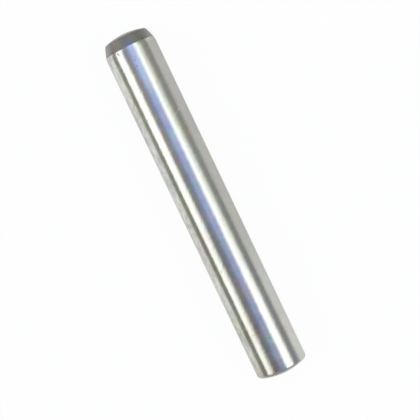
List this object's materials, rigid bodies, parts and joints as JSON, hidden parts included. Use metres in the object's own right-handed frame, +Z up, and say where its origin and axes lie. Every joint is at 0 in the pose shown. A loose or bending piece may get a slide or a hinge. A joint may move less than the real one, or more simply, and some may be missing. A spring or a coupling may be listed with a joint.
{
  "type": "dowel pin",
  "caption": "Solid ground steel dowel pin with a tapered, domed point end and a domed, round-edged head end.",
  "frame": {"origin": "the middle of the pin, on its axis, half way between the tips of the two domed faces", "axes": "+X along the pin's axis towards the point end, +Z up as the pin lies on a bench"},
  "size_m": [0.07, 0.01, 0.01],
  "materials": {
    "ground_steel": "hardened steel, ground bright on the shank and dark from hardening at the point end"
  },
  "bodies": {
    "root": {"dowel_pin": "ground_steel"}
  },
  "joints": []
}
